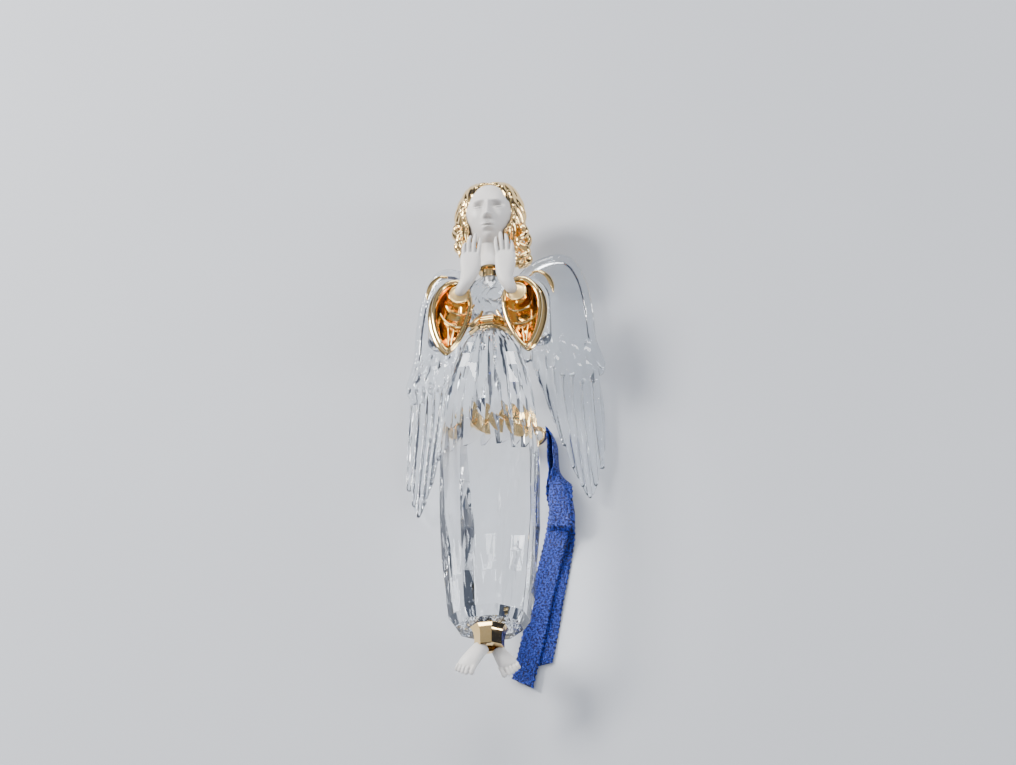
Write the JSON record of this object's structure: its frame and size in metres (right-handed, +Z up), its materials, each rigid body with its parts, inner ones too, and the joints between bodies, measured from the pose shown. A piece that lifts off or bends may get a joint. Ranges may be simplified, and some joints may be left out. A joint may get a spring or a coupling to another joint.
{
  "type": "crystal angel ornament",
  "caption": "Hanging angel ornament of faceted clear and frosted crystal with gilt hair, sleeves and belt, feathered wings, and a knotted satin ribbon on a ring at its back.",
  "frame": {"origin": "on the rest surface, under the middle of the figure's length and width, as it lies on its back on its wings", "axes": "+Y from the feet to the head, +Z up, out of the figure's front, +X to the viewer's right"},
  "size_m": [0.0368, 0.0932, 0.0196],
  "materials": {
    "clear_crystal": "polished, cut in flat facets",
    "frosted_crystal": "satin frosted",
    "gold_plate": "mirror-polished gold plate",
    "pin_steel": "plain turned",
    "satin_ribbon": "woven satin with looped edges"
  },
  "bodies": {
    "figure": {"gown": "clear_crystal", "bodice": "clear_crystal", "arm_left": "clear_crystal", "arm_right": "clear_crystal", "wing_left": "clear_crystal", "wing_right": "clear_crystal", "wing_mount": "clear_crystal", "head": "frosted_crystal", "hand_left": "frosted_crystal", "hand_right": "frosted_crystal", "foot_left": "frosted_crystal", "foot_right": "frosted_crystal", "hair": "gold_plate", "collar": "gold_plate", "belt": "gold_plate", "hem_ferrule": "gold_plate", "sleeve_left": "gold_plate", "sleeve_right": "gold_plate", "cuff_left": "gold_plate", "cuff_right": "gold_plate", "eyelet": "gold_plate", "neck_pin": "pin_steel", "waist_pin": "pin_steel", "hem_pin": "pin_steel"},
    "hanger": {"jump_ring": "gold_plate", "ribbon_loop": "satin_ribbon", "ribbon_knot": "satin_ribbon", "ribbon_tail_front": "satin_ribbon", "ribbon_tail_rear": "satin_ribbon"}
  },
  "joints": [
    {"name": "ring_swing", "type": "hinge", "parent": "figure", "child": "hanger", "pos_m": [0, 0.0002, 0.002], "axis": [0, 1, 0], "range_deg": [0, 180]}
  ]
}
